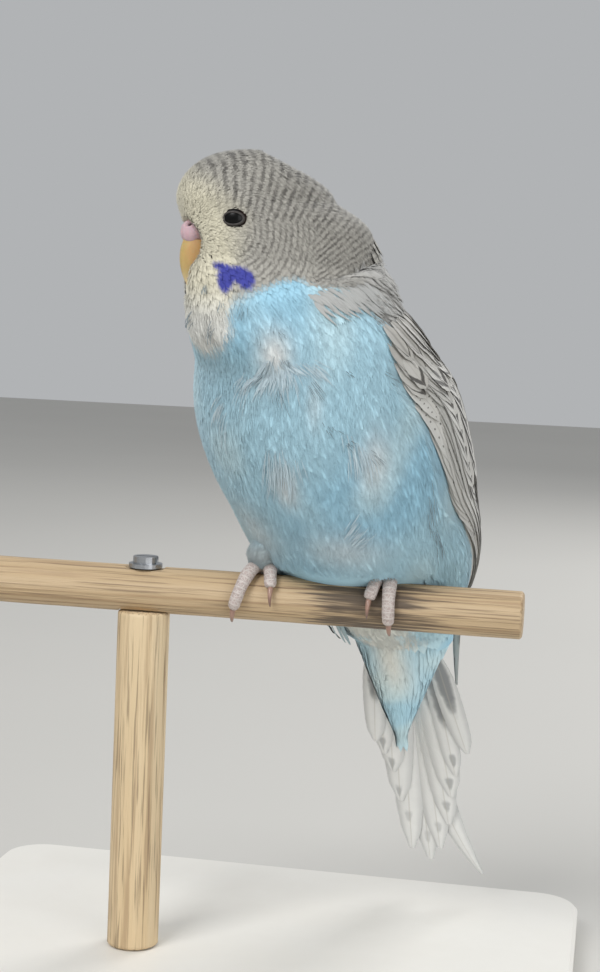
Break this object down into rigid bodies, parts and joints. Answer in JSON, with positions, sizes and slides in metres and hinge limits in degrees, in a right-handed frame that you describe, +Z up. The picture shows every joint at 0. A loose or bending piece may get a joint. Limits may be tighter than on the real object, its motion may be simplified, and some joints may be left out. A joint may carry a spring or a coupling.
{
  "type": "budgerigar on a perch",
  "caption": "Life-size young pet budgerigar, blue-bodied, gripping a wooden dowel perch held up by a post on a flat base.",
  "frame": {"origin": "middle of the underside of the display base", "axes": "+Z up, +X along the perch towards its free end, +Y to the back, away from the picture's camera"},
  "size_m": [0.144, 0.104, 0.1777],
  "materials": {
    "plumage_blue": "soft matt plumage, pale sky blue with whitish partings",
    "plumage_grey": "soft matt plumage, pale grey with fine dark bars, cream on the face",
    "wing_feathers": "smooth matt vanes, whitish edges round dark grey centres",
    "tail_feathers": "smooth matt vanes, white with grey patches at their bases",
    "cere": "soft satin skin, lilac pink",
    "bill": "satin horn, ochre yellow",
    "eye": "wet gloss, all dark",
    "foot_skin": "matt scaly skin, pinkish grey with pale scale edges",
    "claw": "satin horn, pinkish brown",
    "perch_wood": "bare matt dowel, stained in streaks",
    "base_paint": "smooth satin off-white paint over board",
    "steel": "dull zinc plate"
  },
  "bodies": {
    "root": {"beak_lower": "bill", "beak_upper": "bill", "cere": "cere", "claw_left_1": "claw", "claw_left_2": "claw", "claw_left_3": "claw", "claw_left_4": "claw", "claw_right_1": "claw", "claw_right_2": "claw", "claw_right_3": "claw", "claw_right_4": "claw", "eye_left": "eye", "eye_right": "eye", "foot_left": "foot_skin", "foot_right": "foot_skin", "head": "plumage_grey", "neck": "plumage_grey", "perch": "perch_wood", "stand_base": "base_paint", "stand_post": "perch_wood", "stand_screw": "steel", "tail": "tail_feathers", "thigh_left": "plumage_grey", "thigh_right": "plumage_grey", "torso": "plumage_blue", "wing_left": "wing_feathers", "wing_right": "wing_feathers"}
  },
  "joints": []
}
